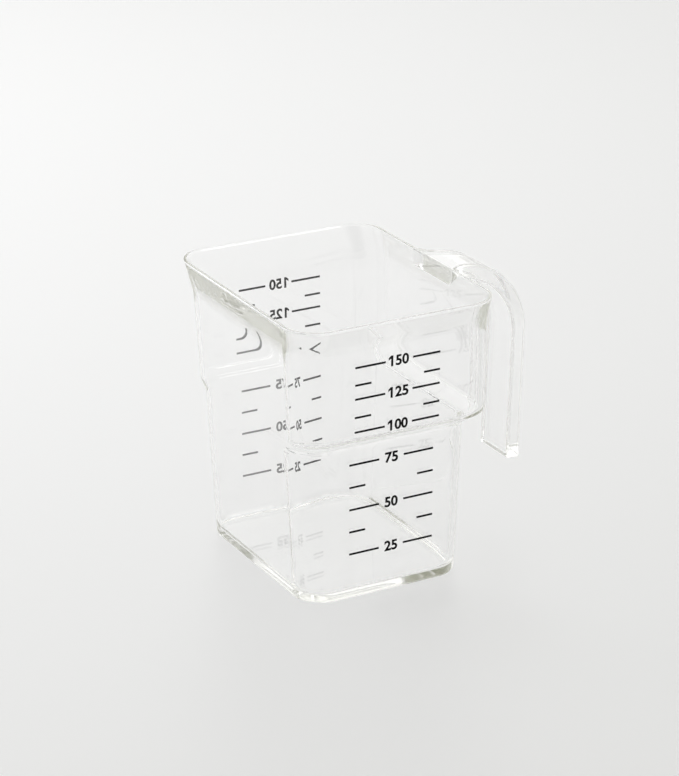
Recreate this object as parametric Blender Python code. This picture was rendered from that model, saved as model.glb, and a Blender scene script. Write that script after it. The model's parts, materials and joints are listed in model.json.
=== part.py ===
"""Stepped square measuring cup in clear moulded plastic, with a hook handle and a printed scale.

The cup stands on the XY plane. The scale is centred on X = 0 on the front (-Y) and back (+Y) faces,
the handle is on the +X side and the slanted pouring wall on the -X side. Sizes are in metres.
"""

import math

import bmesh
import bpy
from mathutils import Matrix, Vector

# Heights of the cup's sections, from the table up.
LOWER_HEIGHT = 0.0401
SHOULDER_HEIGHT = 0.0024
UPPER_HEIGHT = 0.0230
RIM_HEIGHT = 0.0078

# Outer plan of the cup. The left wall is one slanted plane from the base up to the rim flare.
BASE_LEFT = 0.0230
BASE_RIGHT = 0.0216
BASE_HALF_DEPTH = 0.0277
LEFT_LEAN = math.radians(3.5)
LOWER_RIGHT_DRAFT = 0.0016
LOWER_DEPTH_DRAFT = 0.0001
SHOULDER_RIGHT = 0.0048
SHOULDER_DEPTH = 0.0025
UPPER_DEPTH_DRAFT = 0.0004
RIM_FLARE_LEFT = 0.0011
RIM_FLARE_RIGHT = -0.0005
RIM_FLARE_DEPTH = 0.0035

# Walls, floor and the radii of the vertical corners.
WALL = 0.0015
RIM_WALL = 0.0005
FLOOR = 0.0016
CORNER_RADIUS = 0.0080
RIM_CORNER_RADIUS = 0.0086
FOOT_RADIUS = 0.0006
FLOOR_RADIUS = 0.0015
INNER_SHOULDER_RISE = 0.0004
INNER_CREASE_RISE = -0.0002

# Hook handle: a flat strap that leaves the rim, turns down and ends free.
HANDLE_WIDTH = 0.0136
HANDLE_THICKNESS = 0.0039
HANDLE_ROOT_DROP = 0.0002
HANDLE_ROOT_LENGTH = 0.0050
HANDLE_BEND_RADIUS = 0.0185
HANDLE_DROP_LENGTH = 0.0343
HANDLE_START_ANGLE = math.radians(6.0)
HANDLE_END_ANGLE = math.radians(91.8)
HANDLE_EDGE_RADIUS = 0.0009
HANDLE_END_RADIUS = 0.0007
HANDLE_ROOT_SPREAD = 0.0028
HANDLE_ROOT_DEEPENING = 0.0006
HANDLE_SPREAD_LENGTH = 0.0050
HANDLE_GAP = 0.0003

# Printed scale: long dashes on both sides of each number, short ticks between the numbers.
SCALE_HALF_WIDTH = 0.0116
DASH_LENGTH = 0.0082
SHORT_DASH_LENGTH = 0.0075
TICK_LENGTH = 0.0044
INK_WIDTH = 0.00050
INK_THICKNESS = 0.00008
INK_GAP = 0.00004
FIRST_LINE_Z = 0.0120
LOWER_LINE_PITCH = 0.01175
UPPER_LINE_RISES = (0.0025, 0.0110, 0.0191)
LOWER_TICK_SHARE = 0.50
UPPER_TICK_SHARE = 0.445
LINE_VOLUME_ML = 25

# Fineness of the round shapes.
CORNER_STEPS = 6
FILLET_STEPS = 4
BEND_STEPS = 14
ROOT_STEPS = 8
EDGE_STEPS = 3

LOWER_TOP_Z = LOWER_HEIGHT
UPPER_BOTTOM_Z = LOWER_TOP_Z + SHOULDER_HEIGHT
CREASE_Z = UPPER_BOTTOM_Z + UPPER_HEIGHT
CUP_HEIGHT = CREASE_Z + RIM_HEIGHT
INK_COLOUR = (0.012, 0.012, 0.013, 1.0)
PLASTIC_COLOUR = (0.86, 0.88, 0.87, 1.0)


class Plan:
    """A rounded rectangle at one height: how far it reaches left, right and to each side in depth."""

    def __init__(self, z, left, right, half_depth, radius):
        self.z = z
        self.left = left
        self.right = right
        self.half_depth = half_depth
        self.radius = radius

    def inset(self, amount):
        """The plan this much smaller on every side."""
        return Plan(
            self.z,
            self.left - amount,
            self.right - amount,
            self.half_depth - amount,
            self.radius - amount,
        )

    def points(self):
        """The outline's points, counterclockwise from above, starting at the back right corner."""
        centres = (
            (self.right - self.radius, self.half_depth - self.radius),
            (self.radius - self.left, self.half_depth - self.radius),
            (self.radius - self.left, self.radius - self.half_depth),
            (self.right - self.radius, self.radius - self.half_depth),
        )
        outline = []
        for quarter, (x, y) in enumerate(centres):
            for step in range(CORNER_STEPS + 1):
                angle = (quarter + step / CORNER_STEPS) * math.pi / 2
                outline.append(
                    Vector((x + self.radius * math.cos(angle), y + self.radius * math.sin(angle), self.z))
                )
        return outline


def blend(low, high, z):
    """The plan at height z on the straight wall between two plans."""
    share = (z - low.z) / (high.z - low.z)
    return Plan(
        z,
        low.left + share * (high.left - low.left),
        low.right + share * (high.right - low.right),
        low.half_depth + share * (high.half_depth - low.half_depth),
        low.radius + share * (high.radius - low.radius),
    )


def left_reach(z):
    """How far the slanted left wall reaches at height z."""
    return BASE_LEFT + z * math.tan(LEFT_LEAN)


def outer_plans():
    """The outer shape's plans at the base, both edges of the shoulder, the crease and the rim."""
    lower_right = BASE_RIGHT + LOWER_RIGHT_DRAFT
    lower_depth = BASE_HALF_DEPTH + LOWER_DEPTH_DRAFT
    upper_right = lower_right + SHOULDER_RIGHT
    upper_depth = lower_depth + SHOULDER_DEPTH
    crease_depth = upper_depth + UPPER_DEPTH_DRAFT
    return (
        Plan(0.0, left_reach(0.0), BASE_RIGHT, BASE_HALF_DEPTH, CORNER_RADIUS),
        Plan(LOWER_TOP_Z, left_reach(LOWER_TOP_Z), lower_right, lower_depth, CORNER_RADIUS),
        Plan(UPPER_BOTTOM_Z, left_reach(UPPER_BOTTOM_Z), upper_right, upper_depth, CORNER_RADIUS),
        Plan(CREASE_Z, left_reach(CREASE_Z), upper_right, crease_depth, CORNER_RADIUS),
        Plan(
            CUP_HEIGHT,
            left_reach(CREASE_Z) + RIM_FLARE_LEFT,
            upper_right + RIM_FLARE_RIGHT,
            crease_depth + RIM_FLARE_DEPTH,
            RIM_CORNER_RADIUS,
        ),
    )


def inner_plan(outer, rise):
    """The inside of the wall at an outer plan, raised so that the wall keeps its thickness at a bend."""
    inner = outer.inset(WALL)
    inner.z += rise
    inner.left = left_reach(inner.z) - WALL
    return inner


def fillet_plans(low, high, radius, start_inset, start_z):
    """Plans up the fillet that joins a flat bottom at start_z to the wall above it."""
    plans = []
    for step in range(FILLET_STEPS + 1):
        angle = step / FILLET_STEPS * math.pi / 2
        z = start_z + radius * (1 - math.cos(angle))
        wall = blend(low, high, z)
        plans.append(wall.inset(start_inset + radius * (1 - math.sin(angle))))
    return plans


def cup_plans():
    """All plans of the cup in order: from the foot up the outside, over the rim, down to the floor."""
    base, lower_top, upper_bottom, crease, rim = outer_plans()
    outside = fillet_plans(base, lower_top, FOOT_RADIUS, 0.0, 0.0)
    outside += [lower_top, upper_bottom, crease, rim]
    floor_up = fillet_plans(base, lower_top, FLOOR_RADIUS, WALL, FLOOR)
    inside = [
        rim.inset(RIM_WALL),
        inner_plan(crease, INNER_CREASE_RISE),
        inner_plan(upper_bottom, INNER_SHOULDER_RISE),
        inner_plan(lower_top, INNER_SHOULDER_RISE),
    ]
    return outside + inside + floor_up[::-1]


def material(name, colour, roughness, transmission):
    """A Principled material with the given colour, roughness and transmission."""
    made = bpy.data.materials.new(name)
    made.use_nodes = True
    shader = made.node_tree.nodes["Principled BSDF"]
    shader.inputs["Base Color"].default_value = colour
    shader.inputs["Roughness"].default_value = roughness
    shader.inputs["Metallic"].default_value = 0.0
    shader.inputs["Transmission Weight"].default_value = transmission
    shader.inputs["IOR"].default_value = 1.5
    return made


def add_object(name, mesh_builder, matrix, look):
    """Turns a bmesh into a named object at the given placement, with one material."""
    bmesh.ops.recalc_face_normals(mesh_builder, faces=mesh_builder.faces)
    mesh = bpy.data.meshes.new(name)
    mesh_builder.to_mesh(mesh)
    mesh_builder.free()
    mesh.materials.append(look)
    obj = bpy.data.objects.new(name, mesh)
    obj.matrix_world = matrix
    bpy.context.scene.collection.objects.link(obj)
    return obj


def skin(mesh_builder, rings):
    """Joins equal rings of points into a closed skin, with a flat face over each end ring."""
    loops = [[mesh_builder.verts.new(point) for point in ring] for ring in rings]
    count = len(loops[0])
    for first, second in zip(loops, loops[1:]):
        for i in range(count):
            j = (i + 1) % count
            mesh_builder.faces.new((first[i], first[j], second[j], second[i]))
    mesh_builder.faces.new(loops[0])
    mesh_builder.faces.new(loops[-1])


def make_cup_body(plastic):
    """The vessel: floor, lower walls, shoulder on three sides, upper walls and flared rim."""
    shape = bmesh.new()
    skin(shape, [plan.points() for plan in cup_plans()])
    return add_object("cup_body", shape, Matrix.Identity(4), plastic)


def rim_wall_x(z):
    """How far the outer right wall reaches at height z, between the crease and the rim."""
    crease, rim = outer_plans()[3:]
    return blend(crease, rim, z).right


def handle_path():
    """The strap's centreline in XZ, as (distance from the root, x, z, angle below the horizontal)."""
    z = CUP_HEIGHT - HANDLE_ROOT_DROP - HANDLE_THICKNESS / 2
    x = rim_wall_x(z) + HANDLE_GAP
    stations = []
    for step in range(ROOT_STEPS + 1):
        along = HANDLE_ROOT_LENGTH * step / ROOT_STEPS
        stations.append(
            (
                along,
                x + along * math.cos(HANDLE_START_ANGLE),
                z - along * math.sin(HANDLE_START_ANGLE),
                HANDLE_START_ANGLE,
            )
        )
    _, x, z, _ = stations[-1]
    centre_x = x - HANDLE_BEND_RADIUS * math.sin(HANDLE_START_ANGLE)
    centre_z = z - HANDLE_BEND_RADIUS * math.cos(HANDLE_START_ANGLE)
    sweep = HANDLE_END_ANGLE - HANDLE_START_ANGLE
    for step in range(1, BEND_STEPS + 1):
        turned = sweep * step / BEND_STEPS
        angle = HANDLE_START_ANGLE + turned
        stations.append(
            (
                HANDLE_ROOT_LENGTH + turned * HANDLE_BEND_RADIUS,
                centre_x + HANDLE_BEND_RADIUS * math.sin(angle),
                centre_z + HANDLE_BEND_RADIUS * math.cos(angle),
                angle,
            )
        )
    return stations


def strap_ring(station, half_width, above, below, edge_radius):
    """A rounded rectangle across the strap at one station, reaching above and below its centreline."""
    _, x, z, angle = station
    outward = Vector((math.sin(angle), 0.0, math.cos(angle)))
    middle = Vector((x, 0.0, z))
    corners = (
        (half_width - edge_radius, above - edge_radius),
        (edge_radius - half_width, above - edge_radius),
        (edge_radius - half_width, edge_radius - below),
        (half_width - edge_radius, edge_radius - below),
    )
    ring = []
    for quarter, (corner_y, corner_t) in enumerate(corners):
        for step in range(EDGE_STEPS + 1):
            turn = (quarter + step / EDGE_STEPS) * math.pi / 2
            y = corner_y + edge_radius * math.cos(turn)
            t = corner_t + edge_radius * math.sin(turn)
            ring.append(middle + outward * t + Vector((0.0, y, 0.0)))
    return ring


def root_share(distance):
    """How much of the root's spread is left at a distance along the strap, from 1 down to 0."""
    return max(0.0, 1 - distance / HANDLE_SPREAD_LENGTH) ** 2


def square_to_wall(ring):
    """The root ring moved along the strap so that its flat face lies parallel to the cup's wall."""
    slope = math.tan(HANDLE_START_ANGLE)
    seated = []
    for point in ring:
        x = rim_wall_x(point.z) + HANDLE_GAP
        seated.append(Vector((x, point.y, point.z - slope * (x - point.x))))
    return seated


def make_handle(plastic):
    """The hook handle, from its root at the rim to its free lower end."""
    half_width = HANDLE_WIDTH / 2
    half_thickness = HANDLE_THICKNESS / 2
    path = handle_path()
    rings = []
    for station in path:
        share = root_share(station[0])
        rings.append(
            strap_ring(
                station,
                half_width + share * HANDLE_ROOT_SPREAD,
                half_thickness,
                half_thickness + share * HANDLE_ROOT_DEEPENING,
                HANDLE_EDGE_RADIUS,
            )
        )
    rings[0] = square_to_wall(rings[0])
    distance, x, z, angle = path[-1]
    for step in range(EDGE_STEPS + 1):
        turn = step / EDGE_STEPS * math.pi / 2
        shrink = HANDLE_END_RADIUS * (1 - math.cos(turn))
        drop = HANDLE_DROP_LENGTH - HANDLE_END_RADIUS * (1 - math.sin(turn))
        end = (distance + drop, x + drop * math.cos(angle), z - drop * math.sin(angle), angle)
        rings.append(
            strap_ring(
                end,
                half_width - shrink,
                half_thickness - shrink,
                half_thickness - shrink,
                HANDLE_EDGE_RADIUS - shrink,
            )
        )
    shape = bmesh.new()
    skin(shape, rings)
    return add_object("handle", shape, Matrix.Identity(4), plastic)


def wall_frame(z, side):
    """Placement on the outer face at height z: X along the print, Y up the wall, Z out of the wall.

    side is -1 for the front face and +1 for the back face, where the print reads from behind.
    """
    base, lower_top, upper_bottom, crease, _ = outer_plans()
    low, high = (base, lower_top) if z < LOWER_TOP_Z else (upper_bottom, crease)
    wall = blend(low, high, z)
    lean = (high.half_depth - low.half_depth) / (high.z - low.z)
    up = Vector((0.0, side * lean, 1.0)).normalized()
    along = Vector((-side, 0.0, 0.0))
    out = along.cross(up)
    frame = Matrix((along, up, out)).transposed().to_4x4()
    frame.translation = Vector((0.0, side * wall.half_depth, z))
    return frame


def make_ink_bar(name, frame, start, end, ink):
    """One printed line on a wall, from start to end along the print."""
    shape = bmesh.new()
    bmesh.ops.create_cube(shape, size=1.0)
    size = Matrix.Diagonal((end - start, INK_WIDTH, INK_THICKNESS, 1.0))
    place = Matrix.Translation(((start + end) / 2, 0.0, INK_GAP + INK_THICKNESS / 2))
    bmesh.ops.transform(shape, matrix=place @ size, verts=shape.verts)
    return add_object(name, shape, frame, ink)


def scale_heights():
    """(volume, height) of each numbered line, and (volume, height) of each tick."""
    lower = [FIRST_LINE_Z + i * LOWER_LINE_PITCH for i in range(3)]
    upper = [UPPER_BOTTOM_Z + rise for rise in UPPER_LINE_RISES]
    lines = [(LINE_VOLUME_ML * (i + 1), z) for i, z in enumerate(lower + upper)]
    ticks = []
    for section, share in ((lines[:3], LOWER_TICK_SHARE), (lines[3:], UPPER_TICK_SHARE)):
        for (volume, z), (_, next_z) in zip(section, section[1:]):
            ticks.append((volume, z + share * (next_z - z)))
    return lines, ticks


def make_scale(face, side, ink):
    """The printed lines of one face of the cup. The numbers between them are not solids here."""
    lines, ticks = scale_heights()
    for volume, z in lines:
        frame = wall_frame(z, side)
        right_length = SHORT_DASH_LENGTH if volume >= 100 else DASH_LENGTH
        left = (-SCALE_HALF_WIDTH, DASH_LENGTH - SCALE_HALF_WIDTH)
        right = (SCALE_HALF_WIDTH - right_length, SCALE_HALF_WIDTH)
        make_ink_bar(f"{face}_line_{volume}_left", frame, *left, ink)
        make_ink_bar(f"{face}_line_{volume}_right", frame, *right, ink)
    for volume, z in ticks:
        frame = wall_frame(z, side)
        left = (-SCALE_HALF_WIDTH, TICK_LENGTH - SCALE_HALF_WIDTH)
        right = (SCALE_HALF_WIDTH - TICK_LENGTH, SCALE_HALF_WIDTH)
        make_ink_bar(f"{face}_tick_over_{volume}_left", frame, *left, ink)
        make_ink_bar(f"{face}_tick_over_{volume}_right", frame, *right, ink)


def clear_scene():
    """Removes every object of the startup scene."""
    for obj in list(bpy.data.objects):
        bpy.data.objects.remove(obj, do_unlink=True)


def main():
    clear_scene()
    cup_plastic = material("cup_plastic", PLASTIC_COLOUR, 0.04, 1.0)
    handle_plastic = material("handle_plastic", PLASTIC_COLOUR, 0.05, 1.0)
    ink = material("scale_ink", INK_COLOUR, 0.45, 0.0)
    make_cup_body(cup_plastic)
    make_handle(handle_plastic)
    make_scale("front", -1, ink)
    make_scale("back", 1, ink)


main()
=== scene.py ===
"""Studio scene of a stepped square measuring cup in clear moulded plastic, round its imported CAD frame.

Sizes are in metres. The cup stands on the XY plane. The hook handle is on the +X side, the slanted
pouring wall on the -X side, and the printed scale on the front (-Y) and back (+Y) faces.
"""

from __future__ import annotations

import json
import logging
import math
from collections.abc import Callable, Iterable, Iterator
from contextlib import contextmanager
from dataclasses import astuple, dataclass, replace
from enum import Enum

import bmesh
import bpy
from mathutils import Matrix, Vector

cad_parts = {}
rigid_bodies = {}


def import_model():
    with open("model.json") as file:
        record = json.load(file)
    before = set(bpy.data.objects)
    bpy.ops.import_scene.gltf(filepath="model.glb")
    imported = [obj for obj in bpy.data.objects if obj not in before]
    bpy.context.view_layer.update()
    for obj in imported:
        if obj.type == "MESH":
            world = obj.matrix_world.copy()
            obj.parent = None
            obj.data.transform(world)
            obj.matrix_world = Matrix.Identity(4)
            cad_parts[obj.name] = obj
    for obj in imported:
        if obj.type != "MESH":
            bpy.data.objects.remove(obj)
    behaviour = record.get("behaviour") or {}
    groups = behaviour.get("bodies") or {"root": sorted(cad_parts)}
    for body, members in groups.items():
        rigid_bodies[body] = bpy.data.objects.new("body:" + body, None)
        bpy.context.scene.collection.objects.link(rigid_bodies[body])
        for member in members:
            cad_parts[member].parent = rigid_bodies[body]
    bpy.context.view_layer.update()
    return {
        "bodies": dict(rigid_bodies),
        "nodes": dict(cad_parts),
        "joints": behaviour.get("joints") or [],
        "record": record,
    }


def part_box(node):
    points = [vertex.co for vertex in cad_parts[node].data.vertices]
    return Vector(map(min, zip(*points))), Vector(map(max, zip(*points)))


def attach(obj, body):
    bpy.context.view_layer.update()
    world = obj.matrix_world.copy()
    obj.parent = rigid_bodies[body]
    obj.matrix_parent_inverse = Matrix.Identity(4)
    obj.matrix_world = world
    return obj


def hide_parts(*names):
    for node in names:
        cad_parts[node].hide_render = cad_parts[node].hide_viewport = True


LOG = logging.getLogger("measuring_cup")
BODY = "root"
HAIR = 1e-6
CORNER_SIDES = tuple((side_x, side_y) for side_x in (-1, 1) for side_y in (-1, 1))

Triple = tuple[float, float, float]
Tone = tuple[float, float, float, float]
Tree = bpy.types.NodeTree
Node = bpy.types.Node
Socket = bpy.types.NodeSocket


class Slot(Enum):
    """The names of the record's material slots."""

    CUP = "cup_plastic"
    INK = "scale_ink"


class Face(Enum):
    """The two printed faces of the cup. The value is the side of Y on which the face lies."""

    FRONT = -1
    BACK = 1

    @property
    def label(self) -> str:
        """The face's name as the CAD nodes spell it."""
        return self.name.lower()


class Bench:
    """Short names for the edit-mode steps that the sub-assemblies are modelled with."""

    @staticmethod
    def activate(obj: bpy.types.Object | None) -> None:
        """Leaves object mode with only this object selected, or with nothing selected."""
        if bpy.context.mode != "OBJECT":
            bpy.ops.object.mode_set(mode="OBJECT")
        bpy.ops.object.select_all(action="DESELECT")
        bpy.context.view_layer.objects.active = obj
        if obj is not None:
            obj.select_set(True)

    @staticmethod
    def square(name: str) -> bpy.types.Object:
        """Adds a square of 1 m a side in the XY plane, round the origin."""
        Bench.activate(None)
        bpy.ops.mesh.primitive_plane_add(size=1.0)
        square = bpy.context.active_object
        square.name = name
        return square

    @staticmethod
    @contextmanager
    def editing(obj: bpy.types.Object, mode: str = "VERT") -> Iterator[None]:
        """Edit mode on one object until the block ends.

        Args:
            obj: The mesh object to edit.
            mode: The select mode, VERT, EDGE or FACE.
        """
        Bench.activate(obj)
        bpy.ops.object.mode_set(mode="EDIT")
        bpy.ops.mesh.select_mode(type=mode)
        yield
        bpy.ops.object.mode_set(mode="OBJECT")

    @staticmethod
    def select_edges(obj: bpy.types.Object, wanted: Callable[[bmesh.types.BMEdge], bool]) -> int:
        """Selects the edges that pass a test, and nothing else.

        Args:
            obj: The object in edit mode.
            wanted: The test on an edge.

        Returns:
            How many edges were selected.
        """
        bpy.ops.mesh.select_mode(type="EDGE")
        bpy.ops.mesh.select_all(action="DESELECT")
        mesh = bmesh.from_edit_mesh(obj.data)
        found = [edge for edge in mesh.edges if wanted(edge)]
        for edge in found:
            edge.select_set(True)
        mesh.select_flush_mode()
        bmesh.update_edit_mesh(obj.data)
        return len(found)

    @staticmethod
    def select_places(obj: bpy.types.Object, indices: Iterable[int]) -> None:
        """Selects the vertices with these numbers, and nothing else, in vertex mode."""
        bpy.ops.mesh.select_all(action="DESELECT")
        mesh = bmesh.from_edit_mesh(obj.data)
        mesh.verts.ensure_lookup_table()
        for index in indices:
            mesh.verts[index].select_set(True)
        mesh.select_flush_mode()
        bmesh.update_edit_mesh(obj.data)

    @staticmethod
    def selected_places(obj: bpy.types.Object) -> list[tuple[int, Vector]]:
        """The number and the place of each selected vertex."""
        mesh = bmesh.from_edit_mesh(obj.data)
        mesh.verts.index_update()
        return [(vert.index, vert.co.copy()) for vert in mesh.verts if vert.select]

    @staticmethod
    def slide_groups(
        obj: bpy.types.Object,
        groups: Iterable[tuple[Callable[[Vector], bool], Vector]],
    ) -> None:
        """Slides groups of the selected vertices, and leaves all of them selected again.

        Args:
            obj: The object in edit mode, in vertex select mode.
            groups: For each group, the test on a vertex's place and its slide.
        """
        live = Bench.selected_places(obj)
        for wanted, slide in groups:
            if slide.length > 0:
                Bench.select_places(obj, [index for index, place in live if wanted(place)])
                bpy.ops.transform.translate(value=slide)
        Bench.select_places(obj, [index for index, _ in live])

    @staticmethod
    def extrude(slide: Vector) -> None:
        """Extrudes the selected face by a slide, and leaves the new face selected."""
        bpy.ops.mesh.extrude_region_move(TRANSFORM_OT_translate={"value": slide})

    @staticmethod
    def round_off(radius: float, segments: int, affect: str = "EDGES") -> None:
        """Rounds the selected edges, or the selected corners of a flat outline.

        Args:
            radius: The radius of the rounding.
            segments: The number of steps in it.
            affect: What is rounded, EDGES or VERTICES.
        """
        bpy.ops.mesh.bevel(
            offset_type="OFFSET",
            offset=radius,
            segments=segments,
            profile=0.5,
            affect=affect,
            clamp_overlap=False,
        )

    @staticmethod
    def close_up() -> None:
        """Welds the selected mesh's doubled vertices and turns its faces outward."""
        bpy.ops.mesh.remove_doubles(threshold=HAIR)
        bpy.ops.mesh.normals_make_consistent(inside=False)

    @staticmethod
    def apply_place(obj: bpy.types.Object) -> None:
        """Puts the object's place, turn and scale into its mesh."""
        Bench.activate(obj)
        bpy.ops.object.transform_apply(location=True, rotation=True, scale=True)

    @staticmethod
    def apply_modifier(obj: bpy.types.Object, kind: str, **settings: object) -> None:
        """Adds one modifier with these settings and applies it.

        Args:
            obj: The object to change.
            kind: The modifier's type.
            **settings: Its settings by name.
        """
        Bench.activate(obj)
        modifier = obj.modifiers.new(kind.title(), kind)
        for name, value in settings.items():
            setattr(modifier, name, value)
        bpy.ops.object.modifier_apply(modifier=modifier.name)

    @staticmethod
    def smooth(obj: bpy.types.Object) -> None:
        """Shades a rounded solid smooth, with its flat faces left flat."""
        Bench.activate(obj)
        bpy.ops.object.shade_smooth()
        Bench.apply_modifier(obj, "WEIGHTED_NORMAL", keep_sharp=True, weight=60)

    @staticmethod
    def dress(obj: bpy.types.Object, look: bpy.types.Material) -> None:
        """Gives the object one material."""
        obj.data.materials.clear()
        obj.data.materials.append(look)


def add_node(
    tree: Tree,
    kind: str,
    inputs: dict[str, float | Tone | Vector] | None = None,
    **settings: str,
) -> Node:
    """Adds one node to a tree.

    Args:
        tree: The node tree.
        kind: The node's type.
        inputs: The values of its input sockets by name.
        **settings: Its other settings by name.

    Returns:
        The new node.
    """
    node = tree.nodes.new(kind)
    for name, value in settings.items():
        setattr(node, name, value)
    for name, value in (inputs or {}).items():
        node.inputs[name].default_value = value
    return node


@dataclass(frozen=True)
class Finish:
    """What every finish starts with: a material whose textures read the object's own coordinates."""

    name: str

    def build(self) -> bpy.types.Material:
        """Makes the material.

        Returns:
            The new material.
        """
        look = bpy.data.materials.new(self.name)
        look.use_nodes = True
        tree = look.node_tree
        place = add_node(tree, "ShaderNodeTexCoord")
        self.fill(tree, place.outputs["Object"], tree.nodes["Principled BSDF"])
        return look

    def fill(self, tree: Tree, place: Socket, shader: Node) -> None:
        """Adds the finish's own nodes.

        Args:
            tree: The material's node tree.
            place: The object's coordinates.
            shader: The surface shader.
        """
        raise NotImplementedError


@dataclass(frozen=True)
class ClearPlastic(Finish):
    """Clear polished styrene: slightly grey-green in long paths, with moulding waves and fine haze."""

    name: str = "clear_styrene"
    ior: float = 1.52
    tint: Tone = (0.983, 0.9833, 0.979, 1.0)
    absorption: float = 100.0
    wave_scale: float = 32.0
    wave_detail: float = 1.0
    wave_height: float = 0.00001
    wave_strength: float = 0.5
    haze_scale: float = 380.0
    haze_detail: float = 4.0
    haze_span: tuple[float, float] = (0.45, 0.75)
    least_roughness: float = 0.0
    most_roughness: float = 0.02

    def fill(self, tree: Tree, place: Socket, shader: Node) -> None:
        """Makes the shader clear, tints its inside, and adds the haze and the waves."""
        shader.inputs["Transmission Weight"].default_value = 1.0
        shader.inputs["IOR"].default_value = self.ior
        shader.inputs["Base Color"].default_value = (1.0, 1.0, 1.0, 1.0)
        self._add_haze(tree, place, shader)
        self._add_waves(tree, place, shader)
        inside = {"Color": self.tint, "Density": self.absorption}
        tint = add_node(tree, "ShaderNodeVolumeAbsorption", inside)
        tree.links.new(tint.outputs["Volume"], tree.nodes["Material Output"].inputs["Volume"])

    def _add_haze(self, tree: Tree, place: Socket, shader: Node) -> None:
        """Drives the roughness with a fine, uneven haze."""
        haze = add_node(tree, "ShaderNodeTexNoise", {"Scale": self.haze_scale, "Detail": self.haze_detail})
        span = {
            "From Min": self.haze_span[0],
            "From Max": self.haze_span[1],
            "To Min": self.least_roughness,
            "To Max": self.most_roughness,
        }
        spread = add_node(tree, "ShaderNodeMapRange", span)
        tree.links.new(place, haze.inputs["Vector"])
        tree.links.new(haze.outputs["Fac"], spread.inputs["Value"])
        tree.links.new(spread.outputs["Result"], shader.inputs["Roughness"])

    def _add_waves(self, tree: Tree, place: Socket, shader: Node) -> None:
        """Bends the surface normal with slow moulding waves."""
        waves = add_node(tree, "ShaderNodeTexNoise", {"Scale": self.wave_scale, "Detail": self.wave_detail})
        bump = add_node(
            tree, "ShaderNodeBump", {"Strength": self.wave_strength, "Distance": self.wave_height}
        )
        tree.links.new(place, waves.inputs["Vector"])
        tree.links.new(waves.outputs["Fac"], bump.inputs["Height"])
        tree.links.new(bump.outputs["Normal"], shader.inputs["Normal"])


@dataclass(frozen=True)
class PrintedInk(Finish):
    """Black screen-printing ink with a slightly uneven film."""

    name: str = "printed_ink"
    thin_film: Tone = (0.006, 0.006, 0.007, 1.0)
    thick_film: Tone = (0.002, 0.002, 0.002, 1.0)
    specular: float = 0.08
    least_roughness: float = 0.38
    most_roughness: float = 0.62
    grain_scale: float = 2600.0
    grain_detail: float = 3.0
    grain_height: float = 0.00001
    grain_strength: float = 0.3

    def fill(self, tree: Tree, place: Socket, shader: Node) -> None:
        """Varies the ink's tone, gloss and surface with one fine grain."""
        shader.inputs["Specular IOR Level"].default_value = self.specular
        grain = add_node(tree, "ShaderNodeTexNoise", {"Scale": self.grain_scale, "Detail": self.grain_detail})
        film = add_node(
            tree, "ShaderNodeMix", {"A": self.thin_film, "B": self.thick_film}, data_type="RGBA"
        )
        gloss = add_node(
            tree, "ShaderNodeMapRange", {"To Min": self.least_roughness, "To Max": self.most_roughness}
        )
        bump = add_node(
            tree, "ShaderNodeBump", {"Strength": self.grain_strength, "Distance": self.grain_height}
        )
        tree.links.new(place, grain.inputs["Vector"])
        for socket in (film.inputs["Factor"], gloss.inputs["Value"], bump.inputs["Height"]):
            tree.links.new(grain.outputs["Fac"], socket)
        tree.links.new(film.outputs["Result"], shader.inputs["Base Color"])
        tree.links.new(gloss.outputs["Result"], shader.inputs["Roughness"])
        tree.links.new(bump.outputs["Normal"], shader.inputs["Normal"])


@dataclass(frozen=True)
class FloorBoard(Finish):
    """The pale, faintly glossy board that the cup stands on."""

    name: str = "pale_board"
    light_tone: Tone = (0.90, 0.90, 0.90, 1.0)
    dark_tone: Tone = (0.885, 0.886, 0.882, 1.0)
    roughness: float = 0.42
    cloud_scale: float = 3.0

    def fill(self, tree: Tree, place: Socket, shader: Node) -> None:
        """Varies the board's tone with wide, faint clouds."""
        shader.inputs["Roughness"].default_value = self.roughness
        cloud = add_node(tree, "ShaderNodeTexNoise", {"Scale": self.cloud_scale})
        tone = add_node(tree, "ShaderNodeMix", {"A": self.light_tone, "B": self.dark_tone}, data_type="RGBA")
        tree.links.new(place, cloud.inputs["Vector"])
        tree.links.new(cloud.outputs["Fac"], tone.inputs["Factor"])
        tree.links.new(tone.outputs["Result"], shader.inputs["Base Color"])


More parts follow.
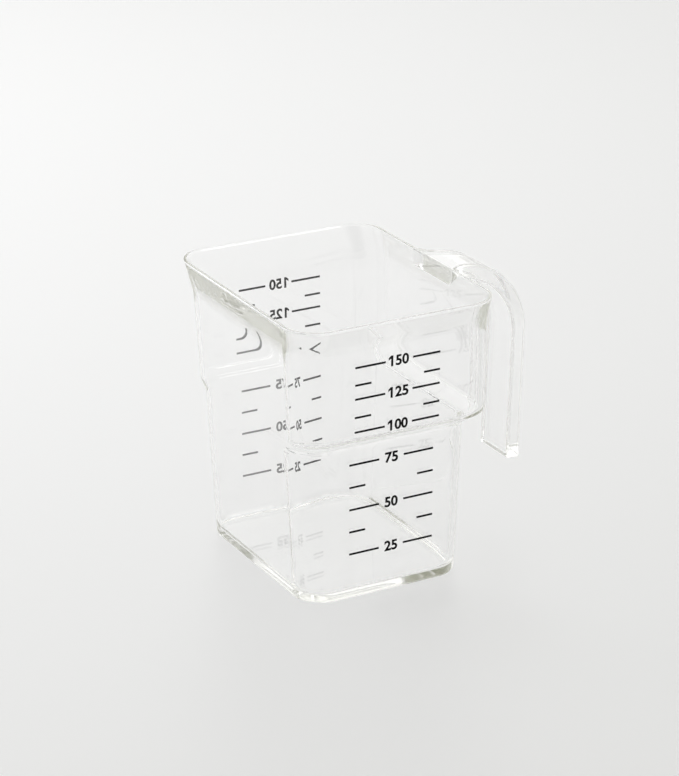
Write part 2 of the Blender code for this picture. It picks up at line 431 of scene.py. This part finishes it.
@dataclass(frozen=True)
class Plan:
    """One level of the cup: a rounded rectangle and how far it reaches left, right and in depth."""

    height: float
    left: float
    right: float
    half_depth: float
    radius: float

    def inset(self, amount: float, rise: float = 0.0) -> Plan:
        """The plan this much smaller on every side, and a little higher."""
        return Plan(
            self.height + rise,
            self.left - amount,
            self.right - amount,
            self.half_depth - amount,
            self.radius - amount,
        )

    def mixed(self, other: Plan, share: float) -> Plan:
        """The plan a share of the way to another."""
        return Plan(*(own + (its - own) * share for own, its in zip(astuple(self), astuple(other))))

    def plus(self, end: Plan, start: Plan) -> Plan:
        """The plan moved by the step from one plan to another."""
        moved = zip(astuple(self), astuple(end), astuple(start))
        return Plan(*(own + last - first for own, last, first in moved))

    def reach_to(self, other: Plan) -> float:
        """How far the cup's surface runs from this plan to another, on the side where it is longest."""
        aside = max(
            abs(self.left - other.left),
            abs(self.right - other.right),
            abs(self.half_depth - other.half_depth),
        )
        return math.hypot(aside, self.height - other.height)

    def corner(self, side_x: int, side_y: int) -> Vector:
        """The centre of one corner's arc."""
        reach = self.right - self.radius if side_x > 0 else self.radius - self.left
        return Vector((reach, side_y * (self.half_depth - self.radius), self.height))

    def near_corner(self, side_x: int, side_y: int) -> Callable[[Vector], bool]:
        """The test of whether a place is in the quarter of the plan that holds one corner."""
        return lambda place: (place.x - self.middle) * side_x > 0 and place.y * side_y > 0

    @property
    def middle(self) -> float:
        """The X halfway between its left and right sides."""
        return (self.right - self.left) / 2


@dataclass(frozen=True)
class Bend:
    """A corner of the cup's wall outline: the plan it lies on and how far the rounding reaches from it."""

    plan: Plan
    reach: float


@dataclass
class ClearCup:
    """The vessel: floor, lower walls, shoulder on three sides, upper walls and flared rim."""

    lower_height: float = 0.0401
    shoulder_height: float = 0.0024
    upper_height: float = 0.0230
    rim_height: float = 0.0078
    base_left: float = 0.0230
    base_right: float = 0.0216
    base_half_depth: float = 0.0277
    left_lean: float = math.radians(3.5)
    lower_right_draft: float = 0.0016
    lower_depth_draft: float = 0.0001
    shoulder_right: float = 0.0048
    shoulder_depth: float = 0.0025
    upper_depth_draft: float = 0.0004
    rim_flare_left: float = 0.0011
    rim_flare_right: float = -0.0005
    rim_flare_depth: float = 0.0035
    wall: float = 0.0015
    rim_wall: float = 0.0005
    lip_wall: float = 0.00072
    lip_drop: float = 0.0007
    floor: float = 0.0016
    corner_radius: float = 0.0080
    rim_corner_radius: float = 0.0086
    inner_shoulder_rise: float = 0.0004
    inner_crease_rise: float = -0.0002
    foot_reach: float = 0.0012
    low_reach: float = 0.0015
    ledge_reach: float = 0.0010
    crease_reach: float = 0.0030
    lip_reach: float = 0.0003
    neck_reach: float = 0.0003
    inner_crease_reach: float = 0.0038
    inner_ledge_reach: float = 0.0012
    inner_low_reach: float = 0.0010
    floor_reach: float = 0.0022
    foot_inset: float = 0.0024
    floor_inset: float = 0.0033
    corner_segments: int = 24
    bend_segments: int = 14

    def left_reach(self, height: float) -> float:
        """How far the slanted left wall reaches at a height."""
        return self.base_left + height * math.tan(self.left_lean)

    def outer_levels(self) -> list[Plan]:
        """The outside's levels: base, both edges of the shoulder, the crease and the rim."""
        lower_right = self.base_right + self.lower_right_draft
        lower_depth = self.base_half_depth + self.lower_depth_draft
        upper_right = lower_right + self.shoulder_right
        upper_depth = lower_depth + self.shoulder_depth
        crease_depth = upper_depth + self.upper_depth_draft
        low, ledge = self.lower_height, self.lower_height + self.shoulder_height
        crease = ledge + self.upper_height
        radius = self.corner_radius
        return [
            Plan(0.0, self.left_reach(0.0), self.base_right, self.base_half_depth, radius),
            Plan(low, self.left_reach(low), lower_right, lower_depth, radius),
            Plan(ledge, self.left_reach(ledge), upper_right, upper_depth, radius),
            Plan(crease, self.left_reach(crease), upper_right, crease_depth, radius),
            Plan(
                crease + self.rim_height,
                self.left_reach(crease) + self.rim_flare_left,
                upper_right + self.rim_flare_right,
                crease_depth + self.rim_flare_depth,
                self.rim_corner_radius,
            ),
        ]

    def inner_levels(self) -> list[Plan]:
        """The inside's levels, from the rim down to the floor."""
        base, lower_top, upper_bottom, crease, rim = self.outer_levels()
        walls = [
            crease.inset(self.wall, self.inner_crease_rise),
            upper_bottom.inset(self.wall, self.inner_shoulder_rise),
            lower_top.inset(self.wall, self.inner_shoulder_rise),
        ]
        walls = [replace(plan, left=self.left_reach(plan.height) - self.wall) for plan in walls]
        share = self.floor / self.lower_height
        bottom = replace(
            base.inset(self.wall, self.floor),
            left=self.left_reach(self.floor) - self.wall,
            right=base.right + share * self.lower_right_draft - self.wall,
        )
        neck = rim.mixed(crease, self.lip_drop / self.rim_height)
        return [rim.inset(self.lip_wall), neck.inset(self.rim_wall), *walls, bottom]

    def bends(self) -> list[Bend]:
        """Every corner of the wall outline, from the foot up the outside and down to the floor."""
        base, low, ledge, crease, rim = self.outer_levels()
        in_lip, neck, in_crease, in_ledge, in_low, bottom = self.inner_levels()
        return [
            Bend(base, self.foot_reach),
            Bend(low, self.low_reach),
            Bend(ledge, self.ledge_reach),
            Bend(crease, self.crease_reach),
            Bend(rim, self.lip_reach),
            Bend(in_lip, self.lip_reach),
            Bend(neck, self.neck_reach),
            Bend(in_crease, self.inner_crease_reach),
            Bend(in_ledge, self.inner_ledge_reach),
            Bend(in_low, self.inner_low_reach),
            Bend(bottom, self.floor_reach),
        ]

    def rounded_levels(self) -> list[Plan]:
        """The levels of the whole outline, with every corner rounded by short steps."""
        bends = self.bends()
        start = bends[0].plan.inset(self.foot_inset)
        end = bends[-1].plan.inset(self.floor_inset)
        corners = [start, *(bend.plan for bend in bends), end]
        levels = [start]
        for before, bend, after in zip(corners, bends, corners[2:]):
            levels.extend(self._rounded_corner(before, bend, after))
        return [*levels, end]

    def _rounded_corner(self, before: Plan, bend: Bend, after: Plan) -> list[Plan]:
        """The short steps round one corner, whose slope starts and stops changing gently."""
        corner = bend.plan
        first = corner.mixed(before, bend.reach / corner.reach_to(before))
        last = corner.mixed(after, bend.reach / corner.reach_to(after))
        steps = []
        for step in range(self.bend_segments + 1):
            share = step / self.bend_segments
            turned = 2 * share**3 - share**4
            toward_corner = first.mixed(corner, 2 * share - turned)
            onward = corner.mixed(last, turned)
            steps.append(toward_corner.plus(onward, corner))
        return steps

    def build(self) -> bpy.types.Object:
        """Models the vessel from its base outline up the outside and down the inside.

        Returns:
            The vessel, still without its handle.
        """
        levels = self.rounded_levels()
        start = levels[0]
        cup = Bench.square("clear_cup")
        with Bench.editing(cup):
            bpy.ops.mesh.select_all(action="SELECT")
            bpy.ops.transform.resize(value=(start.left + start.right, 2 * start.half_depth, 1.0))
            bpy.ops.transform.translate(value=(start.middle, 0.0, start.height))
            Bench.round_off(start.radius, self.corner_segments, "VERTICES")
            bpy.ops.mesh.select_all(action="SELECT")
            for before, after in zip(levels, levels[1:]):
                Bench.extrude(Vector((0.0, 0.0, after.height - before.height)))
                self._fit_corners(cup, before, after)
            bpy.ops.mesh.select_all(action="SELECT")
            bpy.ops.mesh.normals_make_consistent(inside=False)
        LOG.info("modelled the vessel on %d levels", len(levels))
        return cup

    def _fit_corners(self, cup: bpy.types.Object, before: Plan, after: Plan) -> None:
        """Slides the selected face's four corners from one plan to the next, and resizes their arcs."""
        groups = []
        for sides in CORNER_SIDES:
            slide = after.corner(*sides) - before.corner(*sides)
            slide.z = 0.0
            groups.append((before.near_corner(*sides), slide))
        Bench.slide_groups(cup, groups)
        factor = after.radius / before.radius
        if abs(factor - 1) < HAIR:
            return
        live = Bench.selected_places(cup)
        for sides in CORNER_SIDES:
            near = after.near_corner(*sides)
            Bench.select_places(cup, [index for index, place in live if near(place)])
            bpy.ops.transform.resize(value=(factor, factor, 1.0), center_override=after.corner(*sides))
        Bench.select_places(cup, [index for index, _ in live])

    def rim_wall_x(self, height: float) -> float:
        """How far the outer right wall reaches at a height between the crease and the rim."""
        crease, rim = self.outer_levels()[3:]
        share = (height - crease.height) / (rim.height - crease.height)
        return crease.right + share * (rim.right - crease.right)

    def print_frame(self, height: float, face: Face) -> Matrix:
        """Placement on a printed face at a height: X along the print, Y up the wall, Z out of it.

        Args:
            height: The height above the table.
            face: The printed face.

        Returns:
            The placement matrix.
        """
        base, lower_top, upper_bottom, crease, _ = self.outer_levels()
        low, high = (base, lower_top) if height < self.lower_height else (upper_bottom, crease)
        lean = (high.half_depth - low.half_depth) / (high.height - low.height)
        depth = low.half_depth + (height - low.height) * lean
        up = Vector((0.0, face.value * lean, 1.0)).normalized()
        along = Vector((-face.value, 0.0, 0.0))
        frame = Matrix((along, up, along.cross(up))).transposed().to_4x4()
        frame.translation = Vector((0.0, face.value * depth, height))
        return frame


@dataclass
class HookHandle:
    """The hook handle: a flat strap that leaves the rim, turns down and ends free."""

    width: float = 0.0136
    thickness: float = 0.0039
    root_drop: float = 0.0002
    root_length: float = 0.0050
    bend_radius: float = 0.0185
    drop_length: float = 0.0343
    start_angle: float = math.radians(6.0)
    end_angle: float = math.radians(91.8)
    edge_radius: float = 0.0009
    end_radius: float = 0.0007
    root_spread: float = 0.0028
    root_deepening: float = 0.0006
    spread_length: float = 0.0050
    wall_overlap: float = 0.0003
    root_steps: int = 10
    bend_steps: int = 48
    edge_segments: int = 6

    def _root_share(self, along: float) -> float:
        """How much of the root's spread is left at a distance along the strap, from 1 down to 0."""
        return max(0.0, 1 - max(0.0, along) / self.spread_length) ** 2

    def build(self, cup: ClearCup, rim_height: float) -> bpy.types.Object:
        """Models the strap from inside the rim wall out to its free end.

        Args:
            cup: The vessel, for the place of its right wall.
            rim_height: The height of the rim.

        Returns:
            The strap, reaching a little way into the rim wall.
        """
        root_z = rim_height - self.root_drop - self.thickness / 2
        root = Vector((cup.rim_wall_x(root_z), 0.0, root_z))
        along = Vector((math.cos(self.start_angle), 0.0, -math.sin(self.start_angle)))
        outward = Vector((math.sin(self.start_angle), 0.0, math.cos(self.start_angle)))
        strap = self._section(root - along * self.wall_overlap)
        with Bench.editing(strap):
            bpy.ops.mesh.select_all(action="SELECT")
            Bench.extrude(along * self.wall_overlap)
            self._grow_root(strap, root, along, outward)
            self._bend_and_end(strap, root + along * self.root_length - outward * self.bend_radius)
            bpy.ops.mesh.select_all(action="SELECT")
            Bench.close_up()
        LOG.info("modelled the hook handle")
        return strap

    def _section(self, start: Vector) -> bpy.types.Object:
        """The strap's rounded section, standing across the strap's first direction at its start."""
        strap = Bench.square("hook_handle")
        height = self.thickness + self.root_deepening
        with Bench.editing(strap):
            bpy.ops.mesh.select_all(action="SELECT")
            bpy.ops.transform.resize(value=(height, self.width + 2 * self.root_spread, 1.0))
            bpy.ops.transform.translate(value=(self.root_deepening / 2, 0.0, 0.0))
            Bench.round_off(self.edge_radius, self.edge_segments, "VERTICES")
        strap.rotation_euler = (0.0, math.pi / 2 + self.start_angle, 0.0)
        strap.location = start
        Bench.apply_place(strap)
        return strap

    def _grow_root(self, strap: bpy.types.Object, root: Vector, along: Vector, outward: Vector) -> None:
        """Extrudes the root in short steps, each narrower and thinner than the last."""
        step = self.root_length / self.root_steps
        for count in range(self.root_steps):
            before = self._root_share(count * step)
            after = self._root_share((count + 1) * step)
            Bench.extrude(along * step)
            narrower = (before - after) * self.root_spread
            thinner = (before - after) * self.root_deepening
            centre = root + along * (count + 1) * step
            Bench.slide_groups(
                strap,
                (
                    (lambda p: p.y > 0, Vector((0.0, -narrower, 0.0))),
                    (lambda p: p.y < 0, Vector((0.0, narrower, 0.0))),
                    (lambda p: (p - centre).dot(outward) < 0, outward * thinner),
                ),
            )

    def _bend_and_end(self, strap: bpy.types.Object, centre: Vector) -> None:
        """Spins the strap's end round the bend, draws it straight down and rounds the tip's edges."""
        bpy.ops.mesh.spin(
            steps=self.bend_steps,
            angle=self.end_angle - self.start_angle,
            center=centre,
            axis=(0.0, -1.0, 0.0),
        )
        down = Vector((math.cos(self.end_angle), 0.0, -math.sin(self.end_angle)))
        Bench.extrude(down * self.drop_length)
        tip = {index for index, _ in Bench.selected_places(strap)}
        Bench.select_edges(strap, lambda edge: all(vert.index in tip for vert in edge.verts))
        Bench.round_off(self.end_radius, self.edge_segments)


@dataclass
class MouldedBody:
    """The vessel and its handle as the one piece that they are moulded in."""

    finish: ClearPlastic = ClearPlastic()

    def build(self, cup: ClearCup, handle: HookHandle, rim_height: float) -> bpy.types.Object:
        """Joins the vessel and the handle.

        Args:
            cup: The vessel's sizes.
            handle: The handle's sizes.
            rim_height: The height of the rim.

        Returns:
            The joined body.
        """
        body = cup.build()
        strap = handle.build(cup, rim_height)
        Bench.apply_modifier(body, "BOOLEAN", operation="UNION", object=strap, solver="EXACT")
        Bench.activate(strap)
        bpy.ops.object.delete()
        Bench.smooth(body)
        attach(body, BODY)
        body.visible_shadow = False
        body.visible_diffuse = False
        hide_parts("cup_body", "handle")
        LOG.info("joined the vessel and its handle")
        return body

    def dress(self, body: bpy.types.Object) -> None:
        """Gives the body its clear plastic."""
        Bench.dress(body, self.finish.build())


@dataclass
class ScaleNumbers:
    """The printed volumes between the dashes, as thin films of ink."""

    heights: tuple[float, ...] = (0.0120, 0.02375, 0.0355, 0.0450, 0.0535, 0.0616)
    step_ml: int = 25
    digit_height: float = 0.00275
    pair_width: float = 0.0036
    one_stem: float = 0.00056
    one_width: float = 0.0012
    one_gap: float = 0.0007
    flag_drop: float = 0.00052
    flag_thickness: float = 0.00062
    three_digit_shift: float = 0.0002
    film: float = 0.00008
    gap: float = 0.00004
    letter_boldness: float = 0.028
    letter_depth: float = 0.5
    letter_fineness: int = 6

    def build(self, cup: ClearCup) -> list[bpy.types.Object]:
        """Prints the six numbers on both faces.

        Args:
            cup: The vessel, for the place of its faces.

        Returns:
            The twelve printed numbers.
        """
        printed = []
        for face in Face:
            for row, height in enumerate(self.heights):
                number = self._number(self.step_ml * (row + 1))
                number.name = f"{face.label}_number_{self.step_ml * (row + 1)}"
                number.data.name = number.name
                lift = Matrix.Translation((0.0, 0.0, self.gap))
                number.matrix_world = cup.print_frame(height, face) @ lift
                Bench.apply_place(number)
                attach(number, BODY)
                printed.append(number)
                LOG.info("printed %s", number.name)
        return printed

    def _number(self, volume: int) -> bpy.types.Object:
        """One number, centred on the origin in the XY plane, its film rising from Z = 0."""
        digits = str(volume)
        if len(digits) < 3:
            return self._pair(digits, 0.0)
        total = self.one_width + self.one_gap + self.pair_width
        left = self.three_digit_shift - total / 2
        pair = self._pair(digits[1:], left + total - self.pair_width / 2)
        one = self._one(left)
        Bench.activate(pair)
        one.select_set(True)
        bpy.ops.object.join()
        return pair

    def _pair(self, digits: str, middle: float) -> bpy.types.Object:
        """The last two digits of a number as one mesh, fitted to the printed size."""
        Bench.activate(None)
        bpy.ops.object.text_add()
        text = bpy.context.active_object
        text.data.body = digits
        text.data.offset = self.letter_boldness
        text.data.extrude = self.letter_depth
        text.data.resolution_u = self.letter_fineness
        bpy.ops.object.convert(target="MESH")
        pair = bpy.context.active_object
        low = Vector([min(vert.co[axis] for vert in pair.data.vertices) for axis in range(3)])
        high = Vector([max(vert.co[axis] for vert in pair.data.vertices) for axis in range(3)])
        scale = (
            self.pair_width / (high.x - low.x),
            self.digit_height / (high.y - low.y),
            self.film,
        )
        centre = (low + high) / 2
        pair.scale = scale
        pair.location = (
            middle - centre.x * scale[0],
            -centre.y * scale[1],
            self.film / 2,
        )
        Bench.apply_place(pair)
        with Bench.editing(pair):
            bpy.ops.mesh.select_all(action="SELECT")
            Bench.close_up()
        return pair

    def _one(self, left: float) -> bpy.types.Object:
        """The digit 1: a plain stem with a flag."""
        one = Bench.square("one")
        top = self.digit_height / 2
        flag = self.one_width - self.one_stem
        stem_left = left + flag
        flag_low = top - self.flag_thickness
        with Bench.editing(one):
            bpy.ops.mesh.select_all(action="SELECT")
            bpy.ops.transform.resize(value=(self.one_stem, self.digit_height, 1.0))
            bpy.ops.transform.translate(value=(stem_left + self.one_stem / 2, 0.0, 0.0))
            bpy.ops.mesh.bisect(plane_co=(0.0, flag_low, 0.0), plane_no=(0.0, 1.0, 0.0))
            Bench.select_edges(
                one,
                lambda edge: all(
                    vert.co.x < stem_left + HAIR and vert.co.y > flag_low - HAIR for vert in edge.verts
                ),
            )
            slide = (-flag, -self.flag_drop, 0.0)
            bpy.ops.mesh.extrude_edges_move(TRANSFORM_OT_translate={"value": slide})
        Bench.apply_modifier(one, "SOLIDIFY", thickness=self.film, offset=1.0)
        with Bench.editing(one):
            bpy.ops.mesh.select_all(action="SELECT")
            bpy.ops.mesh.normals_make_consistent(inside=False)
        return one


@dataclass(frozen=True)
class Patch:
    """A round patch of the surroundings with a soft edge.

    The edge is the angles from the patch's middle at which the soft edge ends and begins. The light is
    multiplied by one value away from the patch and by another in it.
    """

    side: Triple
    edge: tuple[float, float]
    outside: float
    inside: float

    def build(self, tree: Tree) -> Socket:
        """Adds the patch to the world's nodes.

        Args:
            tree: The world's node tree.

        Returns:
            The socket that holds the patch's value.
        """
        place = add_node(tree, "ShaderNodeTexCoord")
        toward = add_node(tree, "ShaderNodeVectorMath", operation="DOT_PRODUCT")
        toward.inputs[1].default_value = Vector(self.side).normalized()
        span = {
            "From Min": math.cos(self.edge[0]),
            "From Max": math.cos(self.edge[1]),
            "To Min": self.outside,
            "To Max": self.inside,
        }
        ramp = add_node(tree, "ShaderNodeMapRange", span, interpolation_type="SMOOTHSTEP")
        tree.links.new(place.outputs["Generated"], toward.inputs[0])
        tree.links.new(toward.outputs["Value"], ramp.inputs["Value"])
        return ramp.outputs["Result"]


@dataclass
class Studio:
    """The pale floor, the soft lights and the camera.

    The surroundings light only what the plastic mirrors or lets through, and the lamps light only the
    floor and the ink, so the tone of the plastic and the tone of the floor are set apart.
    """

    azimuth: float = math.radians(-28.68)
    elevation: float = math.radians(21.83)
    distance: float = 0.7139
    target: Triple = (0.00092, 0.0, 0.0434)
    lens: float = 133.3
    sensor_width: float = 36.0
    clip: tuple[float, float] = (0.01, 50.0)
    floor_size: float = 6.0
    floor_gap: float = 0.00002
    floor_cuts: int = 7
    light_bounces: int = 400
    window: Patch = Patch((0.15, 0.72, 0.68), (math.radians(60.0), math.radians(22.0)), 0.88, 1.22)
    dim_front: Patch = Patch((-0.35, -0.90, 0.15), (math.radians(38.0), math.radians(15.0)), 1.0, 0.03)
    small_lamp: Patch = Patch((0.4455, -0.57, 0.69), (math.radians(10.0), math.radians(5.5)), 1.0, 6.5)
    surround_tone: Tone = (1.0, 1.0, 0.985, 1.0)
    key_place: Triple = (-0.225, 0.59, 0.84)
    key_size: float = 0.5
    key_power: float = 5.3
    key_tone: Triple = (0.955, 0.955, 1.0)
    overhead_place: Triple = (0.0, 0.0, 2.0)
    overhead_strength: float = 1.62
    overhead_spread: float = math.radians(70.0)
    overhead_tone: Triple = (1.0, 1.0, 0.955)

    def build(self) -> None:
        """Sets up the floor, the lights, the surroundings and the camera."""
        self._floor()
        self._world()
        self._lights()
        self._camera()
        scene = bpy.context.scene
        scene.view_settings.view_transform = "Standard"
        scene.view_settings.look = "None"
        scene.cycles.max_bounces = self.light_bounces
        scene.cycles.transmission_bounces = self.light_bounces
        scene.cycles.glossy_bounces = self.light_bounces

    def _floor(self) -> None:
        """The wide board that the cup stands on."""
        floor = Bench.square("studio_floor")
        with Bench.editing(floor):
            bpy.ops.mesh.select_all(action="SELECT")
            bpy.ops.transform.resize(value=(self.floor_size, self.floor_size, 1.0))
            bpy.ops.transform.translate(value=(0.0, 0.0, -self.floor_gap))
            bpy.ops.mesh.subdivide(number_cuts=self.floor_cuts)
        Bench.dress(floor, FloorBoard().build())

    def _world(self) -> None:
        """Bright soft surroundings: a window behind, a small lamp high on the right and a dim front."""
        world = bpy.data.worlds.new("soft_studio")
        world.use_nodes = True
        tree = world.node_tree
        background = tree.nodes["Background"]
        background.inputs["Color"].default_value = self.surround_tone
        light = self.window.build(tree)
        for patch in (self.dim_front, self.small_lamp):
            product = add_node(tree, "ShaderNodeMath", operation="MULTIPLY")
            tree.links.new(light, product.inputs[0])
            tree.links.new(patch.build(tree), product.inputs[1])
            light = product.outputs["Value"]
        tree.links.new(light, background.inputs["Strength"])
        world.cycles_visibility.diffuse = False
        bpy.context.scene.world = world

    def _lights(self) -> None:
        """A soft box behind on the left, and an even light from straight above."""
        box = bpy.data.lights.new("key_box", "AREA")
        box.size = self.key_size
        box.energy = self.key_power
        box.color = self.key_tone
        self._hang(box, Vector(self.key_place))
        overhead = bpy.data.lights.new("overhead_light", "SUN")
        overhead.energy = self.overhead_strength
        overhead.angle = self.overhead_spread
        overhead.color = self.overhead_tone
        self._hang(overhead, Vector(self.overhead_place))

    def _hang(self, data: bpy.types.Light, place: Vector) -> None:
        """Hangs a light so that it faces the cup, with no mirror image of it in the plastic."""
        lamp = bpy.data.objects.new(data.name, data)
        lamp.location = place
        lamp.rotation_mode = "QUATERNION"
        lamp.rotation_quaternion = (-place).to_track_quat("-Z", "Y")
        lamp.visible_glossy = False
        lamp.visible_transmission = False
        bpy.context.scene.collection.objects.link(lamp)

    def _camera(self) -> None:
        """The camera, looking down on the front left corner."""
        data = bpy.data.cameras.new("camera")
        data.lens = self.lens
        data.sensor_width = self.sensor_width
        data.clip_start, data.clip_end = self.clip
        camera = bpy.data.objects.new("camera", data)
        level = math.cos(self.elevation)
        back = Vector(
            (
                math.sin(self.azimuth) * level,
                -math.cos(self.azimuth) * level,
                math.sin(self.elevation),
            )
        )
        camera.location = Vector(self.target) + back * self.distance
        camera.rotation_mode = "QUATERNION"
        camera.rotation_quaternion = (-back).to_track_quat("-Z", "Y")
        bpy.context.scene.collection.objects.link(camera)
        bpy.context.scene.camera = camera


def main() -> None:
    """Builds the scene."""
    logging.basicConfig(level=logging.INFO, format="%(name)s: %(message)s")
    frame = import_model()
    rim_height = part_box("cup_body")[1].z
    cup = ClearCup()
    moulded = MouldedBody()
    body = moulded.build(cup, HookHandle(), rim_height)
    moulded.dress(body)
    ink = PrintedInk().build()
    for number in ScaleNumbers().build(cup):
        Bench.dress(number, ink)
    for name, node in frame["nodes"].items():
        if "_line_" in name or "_tick_" in name:
            Bench.dress(node, ink)
    Studio().build()


if __name__ == "__main__":
    main()
